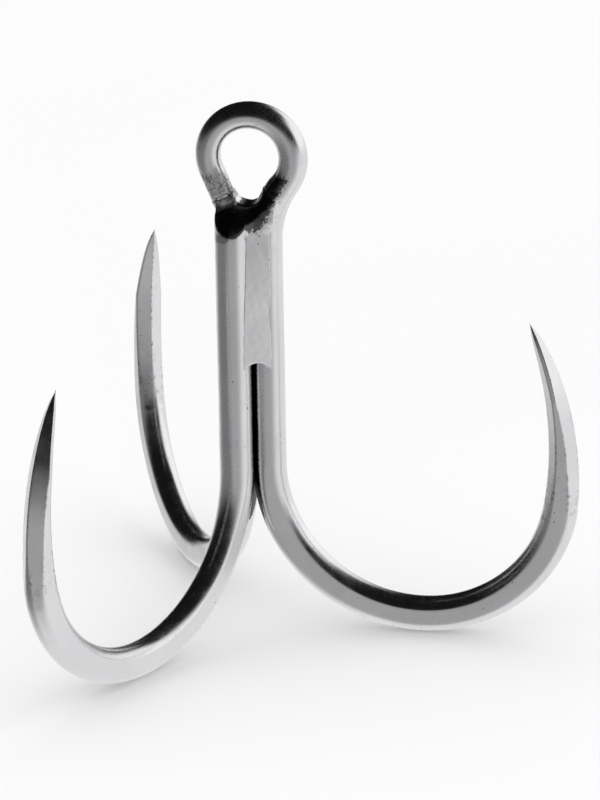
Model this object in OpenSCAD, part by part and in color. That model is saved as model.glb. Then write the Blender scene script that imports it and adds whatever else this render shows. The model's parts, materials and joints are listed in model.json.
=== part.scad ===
// Treble hook: an eyed single hook and a double hook bent from one wire, brazed together along their shanks.
// The origin is the centre of the eye's hole. Z points up along the shanks and X towards the eyed hook.

/* [Wire] */
// Diameter of the round wire that all three hooks are bent from
wire_d = 3.85; // [3.6:0.05:4.2]
// Gap between neighbouring shanks, which the braze fills
wire_gap = 0.1; // [0.05:0.01:0.15]

/* [Eye] */
// Radius of the eye's hole
eye_r = 3.36; // [3.3:0.02:3.5]
// Depth of the narrow straight land that the forming pin leaves round the inside of the eye
land_depth = 0.13; // [0.1:0.01:0.18]
// Wire diameter where the ring of the eye begins
ring_start_d = 3.38; // [3.2:0.02:3.5]
// Wire diameter at the tapered, cut end of the ring
ring_end_d = 2.74; // [2.56:0.02:2.9]
// Angle between the leg that rises from the neck and the vertical
leg_a = 33; // [32:1:36]
// Angle between the tail of the ring and the vertical
tail_a = 22; // [20:1:26]
// Length of the straight tail from the ring to its cut end
tail_l = 3.4; // [3.2:0.1:3.5]
// Radius of the bend between the shank and the leg of the eye
neck_r = 12; // [11:0.5:13]
// Sideways distance from the middle of the three shanks to the middle of the eye
eye_offset = 0.7; // [0.4:0.1:0.9]

/* [Hooks] */
// Height of the eye's centre above the level where the bends begin
shank_h = 36.4; // [34:0.1:40]
// Radius of the first half of each bend
bend_r1 = 17.5; // [16:0.1:19]
// Angle turned by the first half of each bend
bend_a1 = 89; // [80:1:92]
// Radius of the second half of each bend
bend_r2 = 15.9; // [14:0.1:17]
// Angle turned by the second half of each bend
bend_a2 = 84.5; // [80:0.5:90]
// Radius of the gently curved length that carries the point
point_r = 39.5; // [35:0.5:45]
// Angle turned by the length that carries the point
point_a = 32; // [28:1:34]

/* [Forging and grinding] */
// Thickness of each bend across its two forged flats
forged_t = 3.1; // [2.8:0.02:3.3]
// Thickness that each bend would have if its oval cross-section had no flats
forged_oval = 3.46; // [3.4:0.02:3.8]
// Width of each bend after forging, across the wire in the plane of the bend
forged_w = 4.06; // [3.9:0.02:4.2]
// Distance along the bend over which the forging fades in
forge_fade = 9; // [6:0.5:14]
// Length of the ground point
point_l = 24; // [18:0.5:26]
// Power that the point's width follows towards its tip, where 1 would be a straight taper
point_power = 0.5; // [0.45:0.01:0.7]
// Length next to the tip in which the two flats close in
thin_l = 9.5; // [8:0.5:14]
// Power that the distance between the flats follows towards the tip
thin_power = 0.65; // [0.5:0.05:0.8]
// Angle from the outside of the bend to the middle of each outer facet
outer_facet_a = 37; // [34:1:42]
// Distance of the outer facets from the middle of the point, as a share of its half width
outer_facet_d = 0.82; // [0.75:0.01:0.9]
// Angle from the outside of the bend to the middle of each inner facet
inner_facet_a = 147; // [138:1:150]
// Distance of the inner facets from the middle of the point, as a share of its half width
inner_facet_d = 0.86; // [0.75:0.01:0.9]
// Length next to the tip in which the facets close in until they meet in sharp ridges
sharp_l = 17; // [12:0.5:18]
// Length that governs how quickly the last of the tip is honed down
hone_l = 0.9; // [0.6:0.1:1.5]
// Width left at the very tip
tip_d = 0.08; // [0.05:0.01:0.12]

/* [Crown] */
// Depth of the top of the double hook's hairpin below the eye's centre
crown_h = 5.3; // [5.2:0.05:5.6]

/* [Braze] */
// Depth of the lower end of the shank webs below the eye's centre
web_h = 23.6; // [20:0.1:28]
// Radius of the arched lower end of each web
web_arch_r = 1.6; // [1.2:0.1:1.8]
// Angle round the eyed wire, from its closest point, that the braze covers
web_cover_eyed = 84; // [70:1:88]
// Angle round each wire of the double hook, from its closest point, that the braze covers
web_cover_double = 58; // [45:1:70]
// Depth of the highest point of the braze beside the eye's right leg
web_top_h = 4.9; // [4.8:0.1:5.2]
// Radius of the saddle below the eye's hole
saddle_r = 1.6; // [1.2:0.1:1.8]
// Depth of the saddle's lowest point below the eye's centre
saddle_h = 5.4; // [5.2:0.05:5.6]
// Diameter of the braze plug under the cut end of the ring
plug_d = 2.5; // [2.3:0.1:2.5]

/* [Hidden] */

$fn = 96;
sides = 24;                                   // facets round a wire
sharpness = 20;                               // power of the blend between a wire's faces
bend_steps = 30;
point_steps = 12;
ring_steps = 40;
steel = "#a9acb0";
braze = "#c3c5c8";

wire_r = wire_d / 2;
pair_gap = wire_d + wire_gap;                 // distance between two neighbouring wire centres
bundle_r = pair_gap / sqrt(3);                // distance from the bundle's axis to each wire's centre
eyed_x = bundle_r - eye_offset;               // X of the eyed hook's shank
double_x = -bundle_r / 2 - eye_offset;        // X of the double hook's two shanks
double_y = pair_gap / 2;                      // their distance from the XZ plane

// ---- small helpers ----
function deg(x) = x * 180 / PI;
function mix(a, b, t) = a + (b - a) * t;
function smooth(t) = let (c = min(1, max(0, t))) c * c * (3 - 2 * c);

// ---- the curve of one hook: [distance from the shank, height, angle turned] ----
bend_l1 = bend_r1 * bend_a1 * PI / 180;
bend_l2 = bend_r2 * bend_a2 * PI / 180;
hook_l = bend_l1 + bend_l2 + point_r * point_a * PI / 180;

function turn(p, r, a) = [p[0] + r * (cos(p[2]) - cos(p[2] + a)), p[1] - r * (sin(p[2] + a) - sin(p[2])), p[2] + a];
bend_end1 = turn([0, 0, 0], bend_r1, bend_a1);
bend_end2 = turn(bend_end1, bend_r2, bend_a2);
function hook_at(s) =
    s < bend_l1 ? turn([0, 0, 0], bend_r1, deg(s / bend_r1)) :
    s < bend_l1 + bend_l2 ? turn(bend_end1, bend_r2, deg((s - bend_l1) / bend_r2)) :
    turn(bend_end2, point_r, deg((s - bend_l1 - bend_l2) / point_r));

// Distances along the hook at which it gets a cross-section, closer together towards the tip
bend_stations = [for (i = [0:bend_steps - 1]) (hook_l - point_l) * i / bend_steps];
point_stations = [for (i = [point_steps:-1:0]) hook_l - point_l * pow(i / point_steps, 1.7)];

// ---- cross-section of a hook: a round or oval wire cut by two flats and, on the point, by four facets ----
// Shares of the half width at which the facets just touch the wire, and at which they meet in ridges
touch = 0.95;
outer_ridge = cos(outer_facet_a);
inner_ridge = cos(180 - inner_facet_a);
// How far a facet is from the middle, left from the tip: off the wire, then d, then at its ridge
function facet_share(left, d, ridge) =
    left > sharp_l ? mix(d, touch, smooth((left - sharp_l) / (point_l - sharp_l)))
                   : mix(ridge, d, smooth(left / sharp_l));
// One face at angle a, whose middle is at distance d from the wire's centre
function face(t, a, d) = pow(max(0, cos(t - a)) / d, sharpness);
function hook_radius(t, s) =
    let (left = max(0, hook_l - s),
         forged = smooth(s / forge_fade),
         honed = 1 - exp(-left / hone_l),
         w = max(tip_d, honed * mix(wire_d, forged_w, forged) * pow(min(1, left / point_l), point_power)),
         oval = mix(wire_d, forged_oval, forged),
         thin = honed * pow(min(1, left / thin_l), thin_power),
         flat = max(tip_d, thin * mix(wire_d, forged_t, forged)) / 2,
         outer = w / 2 * facet_share(left, outer_facet_d, outer_ridge),
         inner = w / 2 * facet_share(left, inner_facet_d, inner_ridge))
    pow(pow(norm([2 * cos(t) / w, 2 * sin(t) / oval]), sharpness)
        + (forged > 0 ? face(t, 90, flat) + face(t, -90, flat) : 0)
        + (left < point_l ? face(t, outer_facet_a, outer) + face(t, -outer_facet_a, outer)
                          + face(t, inner_facet_a, inner) + face(t, -inner_facet_a, inner) : 0), -1 / sharpness);

// One cross-section: its centre, its outward direction and its sideways direction
function section(centre, out, side, radii) =
    [for (i = [0:sides - 1]) centre + radii[i] * (cos(i * 360 / sides) * out + sin(i * 360 / sides) * side)];
function round_radii(r) = [for (i = [0:sides - 1]) r];

// Cross-sections of the hook at azimuth az, from its shank to its tip. hand is 1 or -1 and sets the winding.
function hook_sections(az, hand) =
    let (er = [cos(az), sin(az), 0], et = hand * [-sin(az), cos(az), 0],
         foot = [-eye_offset, 0, -shank_h] + bundle_r * er)
    [for (s = concat(bend_stations, point_stations))
        let (p = hook_at(s))
        section(foot + p[0] * er + [0, 0, p[1]], [0, 0, -sin(p[2])] - cos(p[2]) * er, et,
                [for (i = [0:sides - 1]) hook_radius(i * 360 / sides, s)])];

// ---- the eye: [x, z, lean from the vertical, wire radius], from the top of the shank to the cut end ----
inner_r = eye_r - land_depth;
ring_start = (inner_r + ring_start_d / 2) * [cos(leg_a), -sin(leg_a)];
leg_l = (ring_start[0] - eyed_x - neck_r * (1 - cos(leg_a))) / sin(leg_a);
neck_z = ring_start[1] - leg_l * cos(leg_a) - neck_r * sin(leg_a);
neck_l = neck_r * leg_a * PI / 180;
function leg_radius(s) = mix(wire_r, ring_start_d / 2, s / (neck_l + leg_l));
ring_a = 180 + leg_a + tail_a;
ring_l = (inner_r + wire_r) * ring_a * PI / 180;
function ring_radius(s) = mix(ring_start_d, ring_end_d, s / (ring_l + tail_l)) / 2;
function ring_at(a) = let (r = ring_radius(ring_l * (a + leg_a) / ring_a))
    [(inner_r + r) * cos(a), (inner_r + r) * sin(a), -a, r];
ring_end = ring_at(180 + tail_a);
tail_end = [ring_end[0] + tail_l * sin(tail_a), ring_end[1] - tail_l * cos(tail_a)];
eye_path = concat(
    [for (a = [0:leg_a / 6:leg_a]) [eyed_x + neck_r * (1 - cos(a)), neck_z + neck_r * sin(a), a,
                                    leg_radius(neck_l * a / leg_a)]],
    [for (i = [0:ring_steps]) ring_at(ring_a * i / ring_steps - leg_a)],
    [[tail_end[0], tail_end[1], -180 - tail_a, ring_end_d / 2]]);
function eye_sections() = [for (p = eye_path)
    section([p[0], 0, p[1]], [-cos(p[2]), 0, sin(p[2])], [0, 1, 0], round_radii(p[3]))];

// ---- the crown: the hairpin that joins the two shanks of the double hook ----
crown_z = -crown_h - double_y - wire_r;
// The hairpin's sections start at the corner where the slanted shank sections start
hairpin_turn = 150;
function crown_sections() = [for (a = [0:10:180])
    let (out = [0, -cos(a), sin(a)], c = [double_x, 0, crown_z] + double_y * out)
    [for (i = [0:sides - 1]) let (t = i * 360 / sides - hairpin_turn) c + wire_r * (cos(t) * out - [sin(t), 0, 0])]];

// ---- modules that the parts share ----
function reversed(list) = [for (i = [len(list) - 1:-1:0]) list[i]];

// A solid skinned over a list of cross-sections
module sweep(rings) {
    n = len(rings[0]);
    last = (len(rings) - 1) * n;
    polyhedron(
        points = [for (ring = rings) each ring],
        faces = concat(
            [[for (i = [n - 1:-1:0]) i]],
            [for (k = [0:n:last - n], i = [0:n - 1]) [k + i, k + (i + 1) % n, k + n + i]],
            [for (k = [0:n:last - n], i = [0:n - 1]) [k + (i + 1) % n, k + n + (i + 1) % n, k + n + i]],
            [[for (i = [0:n - 1]) last + i]]));
}

// Everything above a plane that passes through height z on the Z axis and falls at angle slope towards azimuth az
module above(z, slope, az) {
    translate([0, 0, z]) rotate([0, 0, az]) rotate([0, slope, 0]) translate([-15, -15, 0]) cube([30, 30, 15]);
}

// The stretches of wire that the braze touches
neck_sections = 12;
module brazed_wires() {
    bottom = -web_h - 2 * web_arch_r;
    sweep(concat([section([eyed_x, 0, bottom], [-1, 0, 0], [0, 1, 0], round_radii(wire_r))],
                 [for (i = [0:neck_sections - 1]) eye_sections()[i]]));
    for (y = [-double_y, double_y])
        translate([double_x, y, bottom]) cylinder(h = crown_z - bottom, r = wire_r);
    translate([double_x, 0, crown_z]) rotate([0, 90, 0]) rotate([0, 0, 90])
        rotate_extrude(angle = 180) translate([double_y, 0]) circle(r = wire_r);
}

// The round hollow between the eye's legs, just above the braze
saddle_x = -0.15;
module saddle() {
    translate([saddle_x, 15, saddle_r - saddle_h]) rotate([90, 0, 0]) cylinder(h = 30, r = saddle_r);
}

// The braze between the eye and the crown falls away to the front and to the rear
fall_z = -4.25;
fall_a = 46;
fall_az = 105;
module fall_away() {
    above(fall_z, fall_a, fall_az);
    above(fall_z, fall_a, -fall_az);
}

function polar(r, a) = r * [cos(a), sin(a)];
eyed = [eyed_x, 0];
double_front = [double_x, -double_y];
double_rear = [double_x, double_y];

// Braze in the valley between wire p and wire q, seen from outside with p on the right.
// It covers each wire up to an angle from the line that joins them, and its lower end is an arch.
web_edge_t = 0.02;                            // thickness of the web's two edges on the wires
module web(p, q, cover_p, cover_q, top) {
    r = wire_r + web_edge_t;
    to_q = atan2(q[1] - p[1], q[0] - p[0]);
    bottom = -web_h - web_arch_r;
    middle = (p + q) / 2;
    difference() {
        translate([0, 0, bottom]) linear_extrude(top - bottom)
            polygon([p, p + polar(r, to_q + cover_p), q + polar(r, to_q + 180 - cover_q), q]);
        translate([middle[0], middle[1], bottom]) rotate([0, 90, to_q + 90])
            translate([0, 0, -1]) cylinder(h = 2 * wire_d, r = web_arch_r);
        brazed_wires();
    }
}

// ---- sub-parts ----
// Single hook: point, bend, shank and eye in one length of wire
module ringed_hook() {
    color(steel) difference() {
        sweep(concat(reversed(hook_sections(0, 1)), eye_sections()));
        translate([0, wire_d, 0]) rotate([90, 0, 0]) cylinder(h = 2 * wire_d, r = eye_r);
    }
}

// Two hooks in one length of wire, joined at the top by a hairpin
module double_hook() {
    color(steel) sweep(concat(
        reversed(hook_sections(240, 1)), crown_sections(), hook_sections(120, -1)));
}

module front_web() {
    difference() {
        web(eyed, double_front, web_cover_eyed, web_cover_double, -web_top_h);
        fall_away();
        saddle();
    }
}

module braze_front_web() {
    color(braze) front_web();
}

module braze_rear_web() {
    color(braze) mirror([0, 1, 0]) front_web();
}

module braze_side_web() {
    color(braze) web(double_front, double_rear, web_cover_double, web_cover_double, crown_z + double_y / 2);
}

// The three-cornered channel between the shanks
module channel(bottom, top) {
    difference() {
        translate([0, 0, bottom]) linear_extrude(top - bottom) polygon([eyed, double_front, double_rear]);
        brazed_wires();
    }
}

module braze_core() {
    color(braze) channel(-web_h, neck_z);
}

// Fills the space between the crown and the eye's right leg
module braze_throat() {
    color(braze) difference() {
        channel(neck_z, fall_z);
        fall_away();
        saddle();
        plug();
    }
}

// Plug that carries on from the end face of the ring's tail into the crown
plug_l = 2.6;
module plug() {
    translate([tail_end[0], 0, tail_end[1]]) rotate([0, 180 - tail_a, 0]) cylinder(h = plug_l, d = plug_d);
}

module braze_eye_end() {
    color(braze) difference() {
        plug();
        brazed_wires();
        saddle();
    }
}

ringed_hook();
double_hook();
braze_front_web();
braze_rear_web();
braze_side_web();
braze_core();
braze_throat();
braze_eye_end();
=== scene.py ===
"""The looks of the treble hook: forged and ground wire, brazing metal, a pale floor and a soft studio.

The wires are swept again round the CAD model's own curves, finely enough for crisp facets. The brazing metal
is one field of distances, cut where the CAD nodes are cut, and meshed with surface nets. Lengths are in
millimetres up to make_mesh(), which turns them into metres.
"""

import json
import math

import bpy
import numpy as np
from mathutils import Matrix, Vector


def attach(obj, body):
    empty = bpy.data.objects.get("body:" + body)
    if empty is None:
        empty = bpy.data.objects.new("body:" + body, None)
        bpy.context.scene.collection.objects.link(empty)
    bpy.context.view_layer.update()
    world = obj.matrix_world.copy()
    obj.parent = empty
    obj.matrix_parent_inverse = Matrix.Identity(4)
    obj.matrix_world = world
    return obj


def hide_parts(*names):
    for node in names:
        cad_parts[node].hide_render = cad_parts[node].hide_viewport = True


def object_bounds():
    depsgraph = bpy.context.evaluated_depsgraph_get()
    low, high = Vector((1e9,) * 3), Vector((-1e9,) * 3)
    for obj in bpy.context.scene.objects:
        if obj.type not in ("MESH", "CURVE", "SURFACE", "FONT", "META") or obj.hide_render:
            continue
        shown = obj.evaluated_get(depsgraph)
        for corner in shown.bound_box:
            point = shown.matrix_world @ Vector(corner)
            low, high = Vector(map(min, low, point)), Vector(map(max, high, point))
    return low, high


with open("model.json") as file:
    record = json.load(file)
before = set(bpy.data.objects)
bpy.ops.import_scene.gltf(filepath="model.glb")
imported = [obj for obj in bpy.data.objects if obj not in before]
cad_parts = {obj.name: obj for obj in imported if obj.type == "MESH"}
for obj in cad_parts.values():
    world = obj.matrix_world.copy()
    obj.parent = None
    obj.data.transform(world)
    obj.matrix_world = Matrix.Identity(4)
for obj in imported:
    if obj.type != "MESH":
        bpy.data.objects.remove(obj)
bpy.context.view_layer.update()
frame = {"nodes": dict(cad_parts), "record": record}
MM = 0.001

# ---- driving dimensions of the CAD model, in mm and degrees ----
WIRE_D = 3.85
WIRE_GAP = 0.1
# The eye: its hole, the straight land in the wire, the wire's diameters, the lean of both legs and the tail
EYE_R = frame["record"]["mounts"][0]["dims"]["r_mm"]
LAND_DEPTH = 0.13
RING_START_D = 3.38
RING_END_D = 2.74
LEG_A = 33
TAIL_A = 22
TAIL_L = 3.4
NECK_R = 12
EYE_OFFSET = 0.7
SHANK_H = 36.4
# The bend, as the radii and angles of two arcs, and the point's arc
BEND_R1, BEND_A1 = 17.5, 89
BEND_R2, BEND_A2 = 15.9, 84.5
POINT_R, POINT_A = 39.5, 32
# The bend's forged section: its thickness, oval and width, and the length over which it fades in
FORGED_T = 3.1
FORGED_OVAL = 3.46
FORGED_W = 4.06
FORGE_FADE = 9
# The ground point: its length, how it narrows and thins to the tip, and its facets' azimuths and depths
POINT_L = 24
POINT_POWER = 0.5
THIN_L = 9.5
THIN_POWER = 0.65
OUTER_FACET_A, OUTER_FACET_D = 37, 0.82
INNER_FACET_A, INNER_FACET_D = 147, 0.86
SHARP_L = 17
HONE_L = 0.9
TIP_D = 0.08
# The brazing metal: the crown's height, the webs' foot and its arch, and the round saddle below the eye
CROWN_H = 5.3
WEB_H = 23.6
WEB_ARCH_R = 1.6
SADDLE_R = 1.6
SADDLE_H = 5.4
SADDLE_X = -0.15

# ---- sizes that only the looks have, in mm and degrees ----
# The crown's two falling faces meet at this height, which dips at DIP_X and rises with these slopes beside it
FALL_Z = -4.64
DIP_X = -1.3
SLOPE_RIGHT, SLOPE_LEFT = 0.3, -0.2
# How much higher over the falling faces a place is than it is far from them
FALL_STEEPNESS = 1.43
HAIRPIN_SINK = 0.1
# Depths and wavelengths of the ripple on the wires
SLOW_RIPPLE, SLOW_RIPPLE_L = 0.006, 7
FAST_RIPPLE, FAST_RIPPLE_L = 0.0025, 2.2

# ---- what follows from them ----
WIRE_R = WIRE_D / 2
PAIR_GAP = WIRE_D + WIRE_GAP
BUNDLE_R = PAIR_GAP / math.sqrt(3)
EYED_X = BUNDLE_R - EYE_OFFSET
DOUBLE_X = -BUNDLE_R / 2 - EYE_OFFSET
DOUBLE_Y = PAIR_GAP / 2
CROWN_Z = -CROWN_H - DOUBLE_Y - WIRE_R
INNER_R = EYE_R - LAND_DEPTH
LEG = math.radians(LEG_A)
TAIL = math.radians(TAIL_A)
RING_START = np.array([math.cos(LEG), -math.sin(LEG)]) * (INNER_R + RING_START_D / 2)
LEG_L = (RING_START[0] - EYED_X - NECK_R * (1 - math.cos(LEG))) / math.sin(LEG)
NECK_Z = RING_START[1] - LEG_L * math.cos(LEG) - NECK_R * math.sin(LEG)
NECK_L = NECK_R * LEG
RING_A = math.pi + LEG + TAIL
RING_L = (INNER_R + WIRE_R) * RING_A
BEND_L1 = BEND_R1 * math.radians(BEND_A1)
BEND_L2 = BEND_R2 * math.radians(BEND_A2)
HOOK_L = BEND_L1 + BEND_L2 + POINT_R * math.radians(POINT_A)

# ---- where the soot and painted shade start and where they are full, and the same for the cracks, in mm ----
DARK_PAST_TAIL = 0.7, 1.1
DARK_OFF_NECK = 1.6, -1.0
DARK_NECK_X = -0.6, 0.2
DARK_NECK_TOP = -0.6, -2.6
DARK_NECK_FOOT = -9.9, -6.7
DARK_OVER_FALL = -0.5, 0.2
DARK_CROWN_X = 1.6, 0
DARK_CROWN_FOOT = -9.5
DARK_OFF_SADDLE = 1, 0.5
SHADE_IN_CREVICE = 2.42, 1.92
CRACKS_TOP = -1.4, -2.2
CRACKS_FOOT, CRACKS_X = -6, -1.5

# ---- how finely things are made ----
SIDES = 96
RING_STEP = 0.36
CREST = 44
GRID = 0.08
FAR = 1e3


# ---- small helpers ----
def mix(a, b, t):
    return a + (b - a) * t


def smooth(t):
    t = np.clip(t, 0, 1)
    return t * t * (3 - 2 * t)


def ramp(value, start, end):
    """0 at start, 1 at end, and smooth between them."""
    return smooth((value - start) / (end - start))


def unit(v):
    return v / np.linalg.norm(v, axis=-1, keepdims=True)


def waves(points, length, seed, count=20):
    """Smooth noise from -1 to 1, as plane waves of about this length, in any place and without a seam."""
    draw = np.random.default_rng(seed)
    total = np.zeros(len(points))
    for direction in unit(draw.normal(size=(count, 3))):
        step = 2 * math.pi / (length * draw.uniform(0.7, 1.6))
        total += np.sin(points @ direction * step + draw.uniform(0, 2 * math.pi))
    return total / math.sqrt(count / 2) / 1.6


# ---- the curve and the cross-section of one hook ----
def turn(start, radius, angle):
    """[distance from the shank, height, angle turned] after an arc that leaves start."""
    out, up, a = start
    return np.stack([
        out + radius * (np.cos(a) - np.cos(a + angle)),
        up - radius * (np.sin(a + angle) - np.sin(a)),
        a + angle,
    ], -1)


def hook_at(s):
    """The hook's curve at distances s from the end of its shank, or up its shank where s is below 0."""
    end1 = turn((0, 0, 0), BEND_R1, math.radians(BEND_A1))
    end2 = turn(end1, BEND_R2, math.radians(BEND_A2))
    bend1 = turn((0, 0, 0), BEND_R1, s / BEND_R1)
    bend2 = turn(end1, BEND_R2, (s - BEND_L1) / BEND_R2)
    point = turn(end2, POINT_R, (s - BEND_L1 - BEND_L2) / POINT_R)
    shank = np.stack([0 * s, -s, 0 * s], -1)
    s = s[:, None]
    bends = np.where(s < BEND_L1, bend1, bend2)
    return np.where(s < 0, shank, np.where(s < BEND_L1 + BEND_L2, bends, point))


def facet_share(left, d, ridge):
    """How far a facet is from the middle, as a share of the half width, at this length from the tip."""
    off_wire = 0.95
    leaving = mix(d, off_wire, ramp(left, SHARP_L, POINT_L))
    return np.where(left > SHARP_L, leaving, mix(ridge, d, ramp(left, 0, SHARP_L)))


def hook_section(t, s):
    """Radius at angles t from the outside of the bend, and 1 on an edge between two faces, at distances s."""
    left = np.maximum(0, HOOK_L - s)[:, None]
    forged = smooth(s / FORGE_FADE)[:, None]
    honed = 1 - np.exp(-left / HONE_L)
    w = honed * mix(WIRE_D, FORGED_W, forged) * np.minimum(1, left / POINT_L) ** POINT_POWER
    w = np.maximum(TIP_D, w)
    oval = mix(WIRE_D, FORGED_OVAL, forged)
    outer = w / 2 * facet_share(left, OUTER_FACET_D, math.cos(math.radians(OUTER_FACET_A)))
    inner = w / 2 * facet_share(left, INNER_FACET_D, -math.cos(math.radians(INNER_FACET_A)))
    thin = honed * np.minimum(1, left / THIN_L) ** THIN_POWER
    flat = np.maximum(TIP_D, thin * mix(WIRE_D, FORGED_T, forged)) / 2
    flat = np.where(forged > 0, flat, FAR)
    ground = np.where(left < POINT_L, 1.0, FAR)
    faces = [np.hypot(2 * np.cos(t)[None, :] / w, 2 * np.sin(t)[None, :] / oval) ** CREST]
    for a, d in ((90, flat), (OUTER_FACET_A, outer * ground), (INNER_FACET_A, inner * ground)):
        for side in (1, -1):
            faces.append((np.maximum(0, np.cos(t - side * math.radians(a)))[None, :] / d) ** CREST)
    total = sum(faces)
    edge = 2 * (1 - np.max(faces, 0) / total)
    return total ** (-1 / CREST), np.clip(edge, 0, 1)


def stations(start, end, step, finer_to_end=1.0):
    """Distances from start to end, closer together towards the end where finer_to_end is above 1."""
    count = max(2, round((end - start) / step))
    return end - (end - start) * (1 - np.arange(count) / count) ** finer_to_end


class Tube:
    """Rings of points round a wire, with what its material needs to know at each point."""

    def __init__(self):
        self.rings, self.along, self.around, self.edge, self.ground = [], [], [], [], []

    def add(self, centre, out, side, radius, along, edge=0.0, ground=0.0):
        """Adds rings at centre, each with its own out and side directions and radius at the angles ANGLES."""
        cos, sin = np.cos(ANGLES)[None, :, None], np.sin(ANGLES)[None, :, None]
        ring = centre[:, None, :] + radius[..., None] * (cos * out[:, None, :] + sin * side[:, None, :])
        shape = ring.shape[:2]
        self.rings.append(ring)
        self.along.append(np.broadcast_to(np.asarray(along)[:, None], shape))
        self.around.append(np.broadcast_to(ANGLES[None, :], shape))
        self.edge.append(np.broadcast_to(edge, shape))
        self.ground.append(np.broadcast_to(ground, shape))

    def reverse(self):
        for part in (self.rings, self.along, self.around, self.edge, self.ground):
            part.reverse()
            part[:] = [p[::-1] for p in part]

    def layer(self, name):
        return np.concatenate(getattr(self, name))


ANGLES = np.arange(SIDES) * 2 * math.pi / SIDES


def add_hook(tube, azimuth, hand, shank_top):
    """One hook at this azimuth, from shank_top above its bend to its tip. hand, 1 or -1, sets the winding."""
    er = np.array([math.cos(azimuth), math.sin(azimuth), 0])
    et = hand * np.array([-math.sin(azimuth), math.cos(azimuth), 0])
    up = np.array([0, 0, 1.0])
    foot = np.array([-EYE_OFFSET, 0, -SHANK_H]) + BUNDLE_R * er
    s = np.concatenate([stations(-shank_top, 0, RING_STEP), stations(0, HOOK_L - POINT_L, RING_STEP),
                        stations(HOOK_L - POINT_L, HOOK_L, RING_STEP / 2.2, 1.5), [HOOK_L]])
    path = hook_at(s)
    centre = foot + path[:, :1] * er + path[:, 1:2] * up
    out = -np.sin(path[:, 2:]) * up - np.cos(path[:, 2:]) * er
    radius, edge = hook_section(ANGLES, s)
    left = HOOK_L - s
    ground = ramp(left, POINT_L, POINT_L - 3)[:, None] + 0 * edge
    tube.add(centre, out, np.broadcast_to(et, centre.shape), radius, s, edge, ground)


def eye_path():
    """[x, z, lean from the vertical, wire radius] from the top of the eyed hook's shank to its cut end."""
    a = np.linspace(0, LEG, 14)
    neck = np.stack([EYED_X + NECK_R * (1 - np.cos(a)), NECK_Z + NECK_R * np.sin(a), a, NECK_L * a / LEG], -1)
    leg_at = np.arange(1, 10)[:, None] / 10 * LEG_L
    leg_end = neck[-1, :2]
    leg_place = leg_end + leg_at * [math.sin(LEG), math.cos(LEG)]
    leg = np.concatenate([leg_place, 0 * leg_at + LEG, NECK_L + leg_at], -1)
    before = np.concatenate([neck, leg])
    before[:, 3] = mix(WIRE_R, RING_START_D / 2, before[:, 3] / (NECK_L + LEG_L))
    a = np.linspace(-LEG, math.pi + TAIL, 110)
    r = mix(RING_START_D, RING_END_D, RING_L * (a + LEG) / RING_A / (RING_L + TAIL_L)) / 2
    ring = np.stack([(INNER_R + r) * np.cos(a), (INNER_R + r) * np.sin(a), -a, r], -1)
    share = np.arange(1, 9)[:, None] / 8
    tail_at = ring[-1, :2] + share * TAIL_L * [math.sin(TAIL), -math.cos(TAIL)]
    tail = np.concatenate([tail_at, 0 * share - math.pi - TAIL, mix(ring[-1, 3], RING_END_D / 2, share)], -1)
    return np.concatenate([before, ring, tail])


def make_mesh(name, points, faces, material, layers):
    """A smooth-shaded object from points in mm. layers are numbers per point, for the material to read."""
    mesh = bpy.data.meshes.new(name)
    mesh.from_pydata((points * MM).tolist(), [], faces)
    mesh.update()
    mesh.shade_smooth()
    for key, values in layers.items():
        layer = mesh.attributes.new(key, "FLOAT", "POINT")
        layer.data.foreach_set("value", np.ravel(values).astype(np.float32))
    mesh.materials.append(material)
    piece = bpy.data.objects.new(name, mesh)
    bpy.context.scene.collection.objects.link(piece)
    return piece


def tube_faces(count):
    """Quads between count rings, closed by one face at each end."""
    start = np.arange(count - 1)[:, None] * SIDES
    i = np.arange(SIDES)[None, :]
    j = (i + 1) % SIDES
    quads = np.stack([start + i, start + j, start + SIDES + j, start + SIDES + i], -1).reshape(-1, 4)
    last = (count - 1) * SIDES
    return quads.tolist() + [list(range(SIDES))[::-1], list(range(last, last + SIDES))]


def fall_top(x, y):
    """Height of the crown's top, which falls away to the front and the rear."""
    return FALL_Z - np.abs(y) + np.where(x > DIP_X, SLOPE_RIGHT, SLOPE_LEFT) * (x - DIP_X)


def past_tail(x, z):
    """How far the place x, z lies beyond the wire's cut end, along the ring's tail."""
    end_x, end_z = eye_path()[-1, :2]
    return (x - end_x) * math.sin(TAIL) - (z - end_z) * math.cos(TAIL)


def off_saddle(x, z):
    """Distance of the place x, z from the axis of the round saddle at the foot of the eye's hole."""
    return np.hypot(x - SADDLE_X, z + SADDLE_H - SADDLE_R)


def soot_and_shade(points):
    """How dark the metal is painted at points, 0 to 1: flux soot together with painted shade on the neck, the
    crown and the saddle, and painted shade alone in the crevice between the wires.
    """
    x, y, z = points.T
    dark_beyond_tail = ramp(past_tail(x, z), *DARK_PAST_TAIL) * (z > DARK_CROWN_FOOT)
    inside_of_neck = ramp(off_neck(x, z), *DARK_OFF_NECK) * ramp(x, *DARK_NECK_X)
    up_neck = inside_of_neck * ramp(z, *DARK_NECK_TOP) * ramp(z, *DARK_NECK_FOOT)
    on_crown = ramp(z - fall_top(x, y), *DARK_OVER_FALL) * ramp(x, *DARK_CROWN_X) * dark_beyond_tail
    below_eye = z < SADDLE_R - SADDLE_H
    saddle = ramp(off_saddle(x, z) - SADDLE_R, *DARK_OFF_SADDLE) * below_eye * dark_beyond_tail
    # Painted shade in the crevice where the three wires meet, below the webs.
    crevice_shade = ramp(np.hypot(x + EYE_OFFSET, y), *SHADE_IN_CREVICE) * (z < -WEB_H)
    return np.maximum.reduce([up_neck, on_crown, saddle, crevice_shade])


# How many places of the eye's path lie on the neck, the leg and the lower right of the ring
NECK_AND_RIGHT = 40


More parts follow.
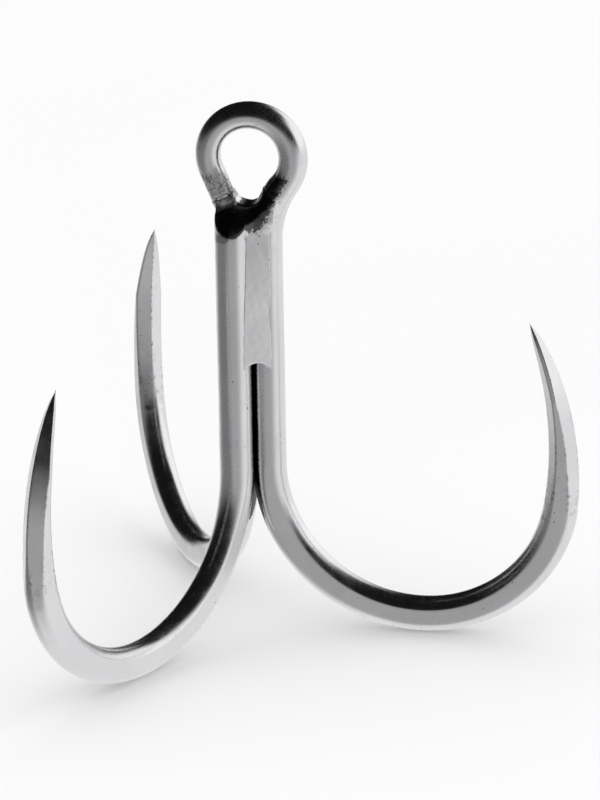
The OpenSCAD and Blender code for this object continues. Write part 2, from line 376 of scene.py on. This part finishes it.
def off_neck(x, z):
    """Distance of the place x, z from the middle of the neck and the ring's right, above 0 on the outside."""
    path = eye_path()[:NECK_AND_RIGHT]
    near = np.argmin((x[:, None] - path[:, 0]) ** 2 + (z[:, None] - path[:, 1]) ** 2, 1)
    lean = path[near, 2]
    return (x - path[near, 0]) * np.cos(lean) - (z - path[near, 1]) * np.sin(lean)


def flaking(points):
    """Where the wash of braze on the ring's tail has cracked, 0 to 1."""
    x, _, z = points.T
    return ramp(z, *CRACKS_TOP) * (x < CRACKS_X) * (z > CRACKS_FOOT)


def wire_piece(name, tube, material):
    """Turns a tube into a wire with the slight ripple of drawing and forging, which is kept off the bore."""
    points = tube.layer("rings").reshape(-1, 3)
    # The hairpin's shoulders are dressed off, to just under the brazing metal's own falling faces
    hairpin = (points[:, 2] > CROWN_Z) & (name == "double_hook_wire")
    dressed = fall_top(points[:, 0], points[:, 1]) - HAIRPIN_SINK
    points[:, 2] = np.where(hairpin, np.minimum(points[:, 2], dressed), points[:, 2])
    middle = np.repeat(tube.layer("rings").mean(1), SIDES, 0)
    outward = unit(points - middle + 1e-9)
    width = np.linalg.norm(points - middle, axis=-1)
    ripple = SLOW_RIPPLE * waves(points, SLOW_RIPPLE_L, 1) + FAST_RIPPLE * waves(points, FAST_RIPPLE_L, 2)
    points = points + outward * (ripple * np.minimum(1, width / WIRE_R) ** 2)[:, None]
    bore = np.hypot(points[:, 0], points[:, 2])
    in_bore = (bore < EYE_R) & (np.abs(points[:, 1]) < WIRE_R)
    to_wall = EYE_R / bore[in_bore]
    points[in_bore] *= np.stack([to_wall, np.ones(in_bore.sum()), to_wall], -1)
    layers = {key: tube.layer(key) for key in ("along", "around", "edge", "ground")}
    layers["soot_and_shade"], layers["flaking"] = soot_and_shade(points), flaking(points)
    return make_mesh(name, points, tube_faces(len(tube.layer("rings"))), material, layers)


def ringed_hook(material):
    """The hook whose wire goes on into the eye."""
    tube = Tube()
    add_hook(tube, 0, 1, SHANK_H + NECK_Z)
    tube.reverse()
    path = eye_path()
    lean = path[:, 2]
    centre = np.stack([path[:, 0], 0 * lean, path[:, 1]], -1)
    out = np.stack([-np.cos(lean), 0 * lean, np.sin(lean)], -1)
    side = np.broadcast_to(np.array([0, 1.0, 0]), out.shape)
    steps = np.cumsum(np.linalg.norm(np.diff(centre, axis=0), axis=1))
    # The first place on the path is already there, as the top of the shank
    tube.add(centre[1:], out[1:], side[1:], path[1:, 3:] + 0 * ANGLES[None, :], -NECK_Z - SHANK_H - steps)
    return wire_piece("ringed_hook_wire", tube, material)


def double_hook(material):
    """Two hooks in one wire, joined by a hairpin at the crown."""
    tube = Tube()
    shank_top = SHANK_H + CROWN_Z
    add_hook(tube, math.radians(240), 1, shank_top)
    tube.reverse()
    a = np.linspace(0, math.pi, 38)[1:-1]
    out = np.stack([0 * a, -np.cos(a), np.sin(a)], -1)
    centre = np.array([DOUBLE_X, 0, CROWN_Z]) + DOUBLE_Y * out
    # Here angle 0 starts at the corner where the slanted shank sections start
    start = math.radians(150)
    side = np.broadcast_to(np.array([-1.0, 0, 0]), out.shape)
    turned_out = math.cos(start) * out - math.sin(start) * side
    turned_side = math.sin(start) * out + math.cos(start) * side
    tube.add(centre, turned_out, turned_side, WIRE_R + 0 * a[:, None] * ANGLES[None, :], -shank_top - 0 * a)
    add_hook(tube, math.radians(120), -1, shank_top)
    return wire_piece("double_hook_wire", tube, material)


# ---- the brazing metal, as a field of distances that is below 0 inside it ----
EYED = np.array([EYED_X, 0.0])
FRONT = np.array([DOUBLE_X, -DOUBLE_Y])
REAR = np.array([DOUBLE_X, DOUBLE_Y])
# Azimuths, round each wire, of the two edges of the front web's outer face
WEB_ON_EYED = -67
WEB_ON_FRONT_TOP, WEB_ON_FRONT_LOW = -28, -50
WEB_TURN_Z = -7
WEB_OVERLAP = 0.1
# Angle from the hollow's middle to the side web's edge on each wire
SIDE_WEB_COVER = 58
# Directions in which each web faces
FRONT_WAY = np.array([math.cos(math.radians(-60)), math.sin(math.radians(-60))])
SIDE_WAY = np.array([-1.0, 0.0])
# How softly one surface runs into the next
ARCH_BLEND = 0.35
CREASE = 0.3
STUB_BLEND = 0.7
TIGHT, TAIL_FILLET, CROWN_FILLET = 0.03, 0.25, 1.6
# The heights between which the crown's wide fillets give way to bare shanks
BARE_Z, FILLET_Z = -9.0, -6.8
BARE_DEPTH = 0.05
# Half the width of the metal that fills the gap between the double hook's shanks at the crown
FILLING_X = 1.2
# The stub that carries the ring's tail on into the crown, straight at first and then flaring
STUB_L = 3.2
STUB_STRAIGHT, STUB_FLARE = 0.9, 1.7
STUB_GROOVE, STUB_GROOVE_W = 0.04, 0.12
# The ragged skin: how thick it is, how deep its foot lies in the wire, and how soft its edge is
SKIN, SKIN_FOOT, SKIN_EDGE, SKIN_BLEND = 0.03, 0.02, 0.35, 0.05
SKIN_TAIL_TOP = -1.6
SKIN_NECK_TOP, SKIN_NECK_FOOT = -2.9, -7.2
# The middle of the skin on the neck passes through this place and leans by this slope
SKIN_NECK_X, SKIN_NECK_Z, SKIN_NECK_LEAN = 2.4, -5.5, 0.4


def smooth_min(a, b, k):
    """The smaller of the two, with a fillet where they differ by less than k."""
    h = np.maximum(k - np.abs(a - b), 0) / k
    return np.minimum(a, b) - h * h * k / 4


def smooth_max(a, b, k):
    return -smooth_min(-a, -b, k)


def on_wire(middle, azimuth):
    a = np.radians(azimuth)
    return middle + WIRE_R * np.stack([np.cos(a), np.sin(a)], -1)


def front_edge(z):
    """Azimuth of the front web's edge on the front wire, which creeps round the wire on its way down."""
    return mix(WEB_ON_FRONT_TOP, WEB_ON_FRONT_LOW, ramp(z, WEB_TURN_Z, -WEB_H))


def beyond(p, a, b):
    """Distance from the vertical plane through a and b, above 0 on the right of a walker from a to b."""
    d = unit(b - a)
    return (p[:, 0] - a[..., 0]) * d[..., 1] - (p[:, 1] - a[..., 1]) * d[..., 0]


def double_shanks(x, y):
    return np.hypot(x - DOUBLE_X, np.abs(y) - DOUBLE_Y) - WIRE_R


def wires_field(p):
    """Distances to the eyed wire and to the double wire, where the braze touches them."""
    x, y, z = p.T
    shank = np.hypot(x - EYED_X, y) - WIRE_R
    top = z > NECK_Z - 0.5
    q = p[top]
    eye = np.full(len(q), FAR)
    for px, pz, _, pr in eye_path()[::2]:
        eye = np.minimum(eye, np.sqrt((q[:, 0] - px) ** 2 + q[:, 1] ** 2 + (q[:, 2] - pz) ** 2) - pr)
    eyed = np.where(z > NECK_Z, FAR, shank)
    eyed[top] = np.minimum(eyed[top], eye)
    hairpin = np.hypot(x - DOUBLE_X, np.hypot(y, z - CROWN_Z) - DOUBLE_Y) - WIRE_R
    return eyed, np.where(z > CROWN_Z, hairpin, double_shanks(x, y))


def web_field(p, right, left, on_right, on_left, arch_way):
    """A web between the wires at right and left, as seen from outside, with an arch at its foot."""
    outside = beyond(p, on_left, on_right)
    sides = np.maximum(beyond(p, left, on_left), beyond(p, on_right, right))
    web = np.maximum.reduce([outside, sides, -beyond(p, left, right) - WEB_OVERLAP])
    middle = (left + right) / 2
    z = p[:, 2] + WEB_H + WEB_ARCH_R
    across = (p[:, 0] - middle[0]) * -arch_way[1] + (p[:, 1] - middle[1]) * arch_way[0]
    hollow = WEB_ARCH_R - np.where(z > 0, np.hypot(across, z), np.abs(across))
    return smooth_max(web, hollow, ARCH_BLEND)


def between_shanks(p):
    """The two webs beside the eyed shank, which mirror each other, the side web and the channel inside."""
    x, y, z = p.T
    fold = np.stack([x, -np.abs(y), z], -1)
    on_eyed = on_wire(EYED, WEB_ON_EYED + 0 * z)
    front = web_field(fold, EYED, FRONT, on_eyed, on_wire(FRONT, front_edge(z)), FRONT_WAY)
    on_front = on_wire(FRONT, 90 + SIDE_WEB_COVER + 0 * z)
    on_rear = on_wire(REAR, -90 - SIDE_WEB_COVER + 0 * z)
    side = web_field(p, FRONT, REAR, on_front, on_rear, SIDE_WAY)
    channel = np.maximum.reduce([beyond(p, EYED, REAR), beyond(p, FRONT, EYED), DOUBLE_X - x, NECK_Z - z])
    return np.minimum.reduce([front, side, channel])


def crown(x, y, z):
    """The tops of the double hook's shanks and what fills the gap between them."""
    columns = np.maximum(double_shanks(x, y), CROWN_Z - z)
    filling = np.maximum.reduce([np.abs(x - DOUBLE_X) - FILLING_X, np.abs(y) - DOUBLE_Y, CROWN_Z - z])
    return np.minimum(columns, filling)


def stub(x, y, z):
    """A round stub that carries the ring's tail on into the crown, behind a narrow seam at the wire's end."""
    end_x, end_z = eye_path()[-1, :2]
    deep = past_tail(x, z)
    off_axis = np.hypot((x - end_x) * math.cos(TAIL) + (z - end_z) * math.sin(TAIL), y)
    radius = mix(RING_END_D / 2, WIRE_R, np.clip((deep - STUB_STRAIGHT) / STUB_FLARE, 0, 1))
    groove = STUB_GROOVE * np.exp(-(deep / STUB_GROOVE_W) ** 2)
    return np.maximum.reduce([off_axis - radius + groove, -deep, deep - STUB_L])


def skin_depth(p, near_wire):
    """How thick the ragged skin of braze is that runs up the ring's tail and onto the neck."""
    x, _, z = p.T
    ragged, flaky = np.zeros(len(p)), np.zeros(len(p))
    ragged[near_wire] = waves(p[near_wire], 1.4, 21)
    flaky[near_wire] = waves(p[near_wire], 0.55, 22)
    on_tail = np.where((x < 0) & (past_tail(x, z) < 0), SKIN_TAIL_TOP - z, -FAR)
    off_middle = np.abs(x - SKIN_NECK_X - SKIN_NECK_LEAN * (z - SKIN_NECK_Z))
    on_neck = np.minimum(SKIN_NECK_TOP - z, z - SKIN_NECK_FOOT) - 1.3 * off_middle
    on_neck = np.where(x > 0, on_neck, -FAR)
    inside = np.maximum(on_tail + 0.5 * ragged + 0.5 * flaky, on_neck + 0.7 * ragged + 0.9 * flaky)
    return SKIN * smooth(inside / SKIN_EDGE + 0.5)


def braze_field(p):
    """The whole of the brazing metal, and the wires, before it is cut into the CAD model's nodes."""
    x, y, z = p.T
    eyed_wire, double_wires = wires_field(p)
    body = np.minimum(between_shanks(p), crown(x, y, z))
    body = smooth_max(body, (z - fall_top(x, y)) / FALL_STEEPNESS, CREASE)
    body = smooth_min(body, stub(x, y, z), STUB_BLEND)
    at_crown = ramp(z, BARE_Z, FILLET_Z)
    fillet = mix(TIGHT, mix(TAIL_FILLET, CROWN_FILLET, ramp(x, -2.6, -1.4)), at_crown)
    wires = np.minimum(eyed_wire, double_wires) + mix(BARE_DEPTH, 0.0, at_crown)
    metal = smooth_min(body, wires, fillet)
    skin = eyed_wire + SKIN_FOOT - skin_depth(p, eyed_wire < 0.5)
    metal = smooth_min(metal, skin, SKIN_BLEND)
    return smooth_max(metal, SADDLE_R - off_saddle(x, z), CREASE), eyed_wire, double_wires


# ---- surface nets ----
def surface_net(field, low, step):
    """Points and quads of the surface where field is 0. Each cell that the surface crosses gets one point."""
    inside = field < 0
    corners = [np.array(c) for c in np.ndindex(2, 2, 2)]
    shape = np.array(field.shape) - 1

    def corner(values, c):
        return values[c[0]:c[0] + shape[0], c[1]:c[1] + shape[1], c[2]:c[2] + shape[2]]

    count = sum(corner(inside, c).astype(np.int8) for c in corners)
    cells = np.argwhere((count > 0) & (count < 8))
    index = np.full(shape, -1, np.int64)
    index[tuple(cells.T)] = np.arange(len(cells))
    total, crossings = np.zeros((len(cells), 3)), np.zeros(len(cells))
    for a in corners:
        for axis in range(3):
            if a[axis]:
                continue
            b = a + np.eye(3, dtype=int)[axis]
            fa, fb = field[tuple((cells + a).T)], field[tuple((cells + b).T)]
            crossed = (fa < 0) != (fb < 0)
            at = np.where(crossed, fa / np.where(crossed, fa - fb, 1), 0)
            total += (a + at[:, None] * (b - a)) * crossed[:, None]
            crossings += crossed
    points = cells + total / crossings[:, None]
    quads = []
    for axis in range(3):
        u, v = (axis + 1) % 3, (axis + 2) % 3
        forward = np.eye(3, dtype=int)[axis]
        a = inside[tuple(slice(0, n - f) for n, f in zip(inside.shape, forward))]
        b = inside[tuple(slice(f, n) for n, f in zip(inside.shape, forward))]
        edges = np.argwhere(a != b)
        at_u, at_v = edges[:, u], edges[:, v]
        edges = edges[(at_u > 0) & (at_v > 0) & (at_u < shape[u]) & (at_v < shape[v])]
        eu, ev = np.eye(3, dtype=int)[u], np.eye(3, dtype=int)[v]
        ring = [index[tuple((edges + o).T)] for o in (-eu - ev, -ev, 0 * eu, -eu)]
        quad = np.stack(ring, -1)
        outward = a[tuple(edges.T)]
        quads.append(np.where(outward[:, None], quad, quad[:, ::-1]))
    return points * step + low, np.concatenate(quads)


def sample(field, at):
    """The field at fractional grid places, mixed from the eight points round each."""
    at = np.clip(at, 0, np.array(field.shape) - 1.001)
    base = at.astype(int)
    part = at - base
    total = 0
    for c in np.ndindex(2, 2, 2):
        weight = np.prod(np.where(c, part, 1 - part), axis=-1)
        total = total + weight * field[tuple((base + c).T)]
    return total


def gradient(field, at):
    steps = np.eye(3) * 0.6
    return np.stack([sample(field, at + s) - sample(field, at - s) for s in steps], -1)


# The box that the field is worked out in, and how the metal is cut into pieces
BRAZE_LOW = np.array([-4.3, -4.3, -WEB_H - 2.2])
BRAZE_HIGH = np.array([4.0, 4.3, -3.6])
SINK = 0.14
LAP = 0.06
PAD_X, PAD_Z = DOUBLE_X - 0.4, -8.2
SEAM_W, SEAM_TOP = 0.09, -7.6


def braze_regions(p):
    """For each piece, a field that is below 0 where the CAD model has that node."""
    x, y, z = p.T
    front_line, rear_line = beyond(p, FRONT, EYED), beyond(p, EYED, REAR)
    channel = np.maximum.reduce([front_line, rear_line, DOUBLE_X - x, NECK_Z - z])
    pad = np.maximum(x - PAD_X, PAD_Z - z)
    return {
        "braze_front_web": np.maximum.reduce([-front_line, y, -pad]),
        "braze_rear_web": np.maximum.reduce([-rear_line, -y, -pad]),
        "braze_side_web": np.maximum(x - DOUBLE_X, -pad),
        "braze_throat": np.maximum(channel, -pad),
        "braze_eye_end": pad,
    }


def braze_pieces(material):
    """Meshes the brazing metal, one piece for each CAD node except the core, which no one sees."""
    shape = np.ceil((BRAZE_HIGH - BRAZE_LOW) / GRID).astype(int) + 1
    grid = np.stack(np.meshgrid(*(np.arange(n) for n in shape), indexing="ij"), -1).reshape(-1, 3)
    p = grid * GRID + BRAZE_LOW
    whole, eyed_wire, double_wires = braze_field(p)
    near = np.abs(whole) < 0.4
    whole[near] += 0.012 * waves(p[near], 3.2, 11) + 0.004 * waves(p[near], 0.9, 12)
    # The part sunk in the wires hides the thin edge, so that the seam is where the two surfaces cross
    metal = smooth_max(whole, -SINK - np.minimum(eyed_wire, double_wires), 0.02)
    pieces = {}
    skin = whole.reshape(shape)
    for name, region in braze_regions(p).items():
        field = np.maximum(metal, region - LAP).reshape(shape)
        points, quads = surface_net(field, BRAZE_LOW, GRID)
        at = (points - BRAZE_LOW) / GRID
        depth = sample(skin, at)
        slope = unit(gradient(skin, at))
        on_skin = np.abs(depth) < 0.5 * GRID
        points[on_skin] -= (slope * depth[:, None])[on_skin]
        seam = np.hypot(*(points[:, :2] - on_wire(FRONT, front_edge(points[:, 2]))).T)
        layers = {"soot_and_shade": soot_and_shade(points), "flaking": flaking(points),
                  "seam": np.exp(-(seam / SEAM_W) ** 2) * (points[:, 2] < SEAM_TOP)}
        pieces[name] = make_mesh(name + "_metal", points, quads.tolist(), material, layers)
    return pieces


# ---- materials ----
class Nodes:
    """Short calls for building a node tree."""

    def __init__(self, tree):
        self.tree = tree
        tree.nodes.clear()

    def add(self, kind, values=None, **settings):
        node = self.tree.nodes.new(kind)
        for key, value in settings.items():
            setattr(node, key, value)
        for key, value in (values or {}).items():
            self.put(node.inputs[key], value)
        return node

    def put(self, socket, value):
        if isinstance(value, bpy.types.NodeSocket):
            self.tree.links.new(value, socket)
        else:
            socket.default_value = value

    def math(self, operation, a, b=0.0, clamp=False):
        return self.add("ShaderNodeMath", {0: a, 1: b}, operation=operation, use_clamp=clamp).outputs[0]

    def smooth(self, value, low, high, out_low=0.0, out_high=1.0):
        return self.add("ShaderNodeMapRange", {"Value": value, "From Min": low, "From Max": high,
                                               "To Min": out_low, "To Max": out_high},
                        interpolation_type="SMOOTHSTEP").outputs["Result"]

    def noise(self, vector, size, detail=3.0, rough=0.55):
        """Noise whose features are about this many millimetres wide."""
        return self.add("ShaderNodeTexNoise", {"Vector": vector, "Scale": 1 / (size * MM), "Detail": detail,
                                               "Roughness": rough}).outputs["Fac"]

    def mix_colour(self, share, a, b):
        node = self.add("ShaderNodeMix", {"Factor": share}, data_type="RGBA")
        self.put(node.inputs["A"], a)
        self.put(node.inputs["B"], b)
        return node.outputs["Result"]

    def attribute(self, name):
        return self.add("ShaderNodeAttribute", attribute_name=name).outputs["Fac"]


COOL_TINT, WARM_TINT = (0.66, 0.68, 0.73, 1), (0.83, 0.81, 0.78, 1)
SPECK_TINT, NICK_TINT, PIT_TINT = (0.30, 0.29, 0.28, 1), (0.16, 0.15, 0.14, 1), (0.10, 0.09, 0.085, 1)
FLAKE_TINT, CRACK_TINT = (0.36, 0.35, 0.35, 1), (0.04, 0.035, 0.03, 1)
# The soot tint paints flux soot together with painted shade on the neck, the crown and the saddle, and
# painted shade in the crevice between the wires.
SEAM_TINT, SOOT_AND_SHADE_TINT = (0.10, 0.10, 0.10, 1), (0.07, 0.066, 0.062, 1)
PIT_SIZE, SPECK_SIZE, NICK_SIZE = 0.42, 0.16, 0.55
GRAIN_SIZE, GRAIN_STRETCH = 0.16, 0.12
CRACK_SPACING = 0.9
RELIEF = 0.02


def drawing_grain(n):
    """Noise drawn out along the wire, which passes round it without a seam."""
    along, around = n.attribute("along"), n.attribute("around")
    on_wire_skin = n.add("ShaderNodeCombineXYZ", {
        "X": n.math("MULTIPLY", along, GRAIN_STRETCH * MM),
        "Y": n.math("MULTIPLY", n.math("COSINE", around), 2 * MM),
        "Z": n.math("MULTIPLY", n.math("SINE", around), 2 * MM)}).outputs[0]
    return n.noise(on_wire_skin, GRAIN_SIZE, 3)


def crack_lines(n, place):
    """1 on a net of thin stirred lines, 0 between them."""
    stir = n.add("ShaderNodeTexNoise", {"Vector": place, "Scale": 1 / (0.6 * MM), "Detail": 3.0})
    reach = (0.8 * MM, 0.8 * MM, 0.8 * MM)
    stirred = n.add("ShaderNodeVectorMath", {0: stir.outputs["Color"], 1: reach, 2: place},
                    operation="MULTIPLY_ADD").outputs[0]
    cell = n.add("ShaderNodeTexVoronoi", {"Vector": stirred, "Scale": 1 / (CRACK_SPACING * MM)},
                 feature="DISTANCE_TO_EDGE")
    return n.smooth(cell.outputs["Distance"], 0.05, 0.01)


def plating(name, bright, shade, roughness, waviness, speckle):
    """Satin plating: slow changes of tint, grain, specks, pits, nicks, soot with painted shade, cracks and an
    uneven surface.
    """
    material = bpy.data.materials.new(name)
    material.use_nodes = True
    n = Nodes(material.node_tree)
    place = n.add("ShaderNodeTexCoord").outputs["Object"]
    slow, patches, fine = n.noise(place, 9), n.noise(place, 2.2, 4), n.noise(place, 0.25, 2)
    smudge = n.noise(place, 4.5, 5, 0.7)
    pits = n.smooth(n.noise(place, PIT_SIZE, 1), 0.76, 0.80)
    specks = n.smooth(n.noise(place, SPECK_SIZE, 2), 0.70 - speckle, 0.76 - speckle)
    ground_edge = n.math("MULTIPLY", n.attribute("edge"), n.attribute("ground"))
    nicks = n.math("MULTIPLY", ground_edge, n.smooth(n.noise(place, NICK_SIZE, 3), 0.52, 0.60))
    flaking = n.attribute("flaking")
    # A ragged mask from the soot attribute, which paints flux soot together with painted shade.
    ragged_soot_and_shade = n.math("ADD", n.math("MULTIPLY", n.noise(place, 0.35, 5, 0.8), 1.7), n.attribute("soot_and_shade"))
    cracks = n.math("MULTIPLY", crack_lines(n, place), n.math("MULTIPLY", flaking, n.smooth(slow, 0.35, 0.5)))

    colour = n.mix_colour(n.smooth(slow, 0.35, 0.65), shade, bright)
    colour = n.mix_colour(n.smooth(smudge, 0.5, 0.75, 0.0, 0.55), colour, COOL_TINT)
    colour = n.mix_colour(n.smooth(smudge, 0.45, 0.25, 0.0, 0.45), colour, WARM_TINT)
    for mark, strength, tint in ((specks, 0.45, SPECK_TINT), (nicks, 0.65, NICK_TINT), (pits, 0.85, PIT_TINT),
                                 (flaking, 0.35, FLAKE_TINT), (n.attribute("seam"), 0.8, SEAM_TINT),
                                 (n.smooth(ragged_soot_and_shade, 1.35, 1.55), 0.95, SOOT_AND_SHADE_TINT), (cracks, 0.9, CRACK_TINT)):
        colour = n.mix_colour(n.math("MULTIPLY", mark, strength), colour, tint)

    duller = n.math("MULTIPLY", n.math("ADD", n.math("MULTIPLY", pits, 1.5), flaking), 0.2)
    rough = n.math("ADD", n.smooth(patches, 0.3, 0.75, roughness * 0.85, roughness * 1.25), duller)
    height = n.math("ADD", n.math("MULTIPLY", patches, waviness), n.math("MULTIPLY", fine, 0.07))
    height = n.math("ADD", height, n.math("MULTIPLY", drawing_grain(n), 0.09))
    height = n.math("SUBTRACT", height, n.math("MULTIPLY", n.math("ADD", pits, nicks), 0.7))
    bump = n.add("ShaderNodeBump", {"Height": height, "Strength": 1.0, "Distance": RELIEF * MM})
    shader = n.add("ShaderNodeBsdfPrincipled", {"Base Color": colour, "Metallic": 1.0, "Roughness": rough,
                                                "Normal": bump.outputs["Normal"]})
    output = n.add("ShaderNodeOutputMaterial")
    n.put(output.inputs["Surface"], shader.outputs[0])
    return material


def floor_material():
    material = bpy.data.materials.new("pale_floor")
    material.use_nodes = True
    n = Nodes(material.node_tree)
    place = n.add("ShaderNodeTexCoord").outputs["Object"]
    tone = n.smooth(n.noise(place, 180, 2), 0.3, 0.7, 0.0, 1.0)
    colour = n.mix_colour(tone, (0.90, 0.90, 0.90, 1), (0.93, 0.93, 0.93, 1))
    shader = n.add("ShaderNodeBsdfDiffuse", {"Color": colour})
    output = n.add("ShaderNodeOutputMaterial")
    n.put(output.inputs["Surface"], shader.outputs[0])
    return material


# ---- the studio ----
CAMERA_AZIMUTH = 9.93
CAMERA_ELEVATION = 20.3
CAMERA_ROLL = 1.0
CAMERA_DISTANCE = 584.6
CAMERA_LENS = 232.7
LOOK_AT = np.array([5.02, 1.0, -29.03])
FLOOR_HALF = 4.0
ROOM_LEVEL = 1.08
DARKEST = 0.008


def directions(azimuth, elevation):
    """Unit vectors to the right, up and towards a viewer at this azimuth and elevation."""
    a, e = math.radians(azimuth), math.radians(elevation)
    right = np.array([math.cos(a), math.sin(a), 0])
    back = np.array([math.sin(a) * math.cos(e), -math.cos(a) * math.cos(e), math.sin(e)])
    return right, np.cross(back, right), back


def add_camera():
    right, up, back = directions(CAMERA_AZIMUTH, CAMERA_ELEVATION)
    roll = math.radians(CAMERA_ROLL)
    rolled_right = right * math.cos(roll) - up * math.sin(roll)
    rolled_up = right * math.sin(roll) + up * math.cos(roll)
    data = bpy.data.cameras.new("camera")
    data.lens = CAMERA_LENS
    data.sensor_width = 36
    data.clip_start, data.clip_end = 0.01, 20
    camera = bpy.data.objects.new("camera", data)
    bpy.context.scene.collection.objects.link(camera)
    place = (LOOK_AT + back * CAMERA_DISTANCE) * MM
    columns = np.stack([rolled_right, rolled_up, back, place], -1)
    camera.matrix_world = Matrix(np.vstack([columns, [0, 0, 0, 1]]).tolist())
    bpy.context.scene.camera = camera


def add_floor():
    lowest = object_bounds()[0].z
    mesh = bpy.data.meshes.new("floor")
    corners = [(x * FLOOR_HALF, y * FLOOR_HALF, lowest) for x, y in ((-1, -1), (1, -1), (1, 1), (-1, 1))]
    mesh.from_pydata(corners, [], [(0, 1, 2, 3)])
    mesh.materials.append(floor_material())
    floor = bpy.data.objects.new("floor", mesh)
    bpy.context.scene.collection.objects.link(floor)
    floor.visible_glossy = False


def add_world():
    """A white room for the camera and the floor, and a studio for the metal to reflect."""
    world = bpy.data.worlds.new("studio")
    world.use_nodes = True
    bpy.context.scene.world = world
    world.cycles.sampling_method = "NONE"
    n = Nodes(world.node_tree)
    direction = n.add("ShaderNodeTexCoord").outputs["Generated"]
    right, _, front = directions(CAMERA_AZIMUTH, 0)

    def towards(azimuth, elevation):
        """Cosine of the angle from this elevation and azimuth, counted from the camera to the right."""
        a, e = math.radians(azimuth), math.radians(elevation)
        axis = math.cos(e) * (math.cos(a) * front + math.sin(a) * right) + np.array([0, 0, math.sin(e)])
        cosine = n.add("ShaderNodeVectorMath", {0: direction, 1: tuple(axis)}, operation="DOT_PRODUCT")
        return cosine.outputs["Value"]

    up = towards(0, 90)
    # A pale table fills what lies below, with one dark patch on the left and one under the camera
    table = n.math("MINIMUM", n.smooth(towards(-75, 10), 0.1, 0.8, 0.88, 0.20),
                   n.smooth(towards(-10, -5), 0.45, 0.92, 0.88, 0.42))
    table = n.math("MULTIPLY", n.smooth(up, 0.13, -0.15), table)
    # A bright window stands on the right
    window = n.math("MULTIPLY", n.smooth(towards(110, 0), 0.45, 0.75), n.smooth(up, 0.76, 0.6))
    window = n.math("MULTIPLY", window, n.smooth(up, -0.1, 0.05, 0.85, 1.12))
    level = n.math("ADD", n.math("MAXIMUM", table, window), DARKEST)
    studio = n.add("ShaderNodeBackground", {"Color": (1, 1, 1, 1), "Strength": level})
    white = n.add("ShaderNodeBackground", {"Color": (1, 1, 1, 1), "Strength": ROOM_LEVEL})
    glossy = n.add("ShaderNodeLightPath").outputs["Is Glossy Ray"]
    both = n.add("ShaderNodeMixShader", {0: glossy, 1: white.outputs[0], 2: studio.outputs[0]})
    output = n.add("ShaderNodeOutputWorld")
    n.put(output.inputs["Surface"], both.outputs[0])


# ---- the object ----
steel = plating("hook_steel_plating", (0.80, 0.80, 0.81, 1), (0.74, 0.745, 0.755, 1), 0.25, 0.45, 0.0)
braze = plating("braze_plating", (0.82, 0.82, 0.825, 1), (0.73, 0.735, 0.745, 1), 0.29, 0.9, 0.04)

for maker, node in ((ringed_hook, "ringed_hook"), (double_hook, "double_hook")):
    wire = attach(maker(steel), "root")
    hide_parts(node)

for node, piece in braze_pieces(braze).items():
    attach(piece, "root")
    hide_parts(node)

core = frame["nodes"]["braze_core"]
core.data.materials.clear()
core.data.materials.append(braze)

add_floor()
add_world()
add_camera()
bpy.context.scene.view_settings.view_transform = "Standard"
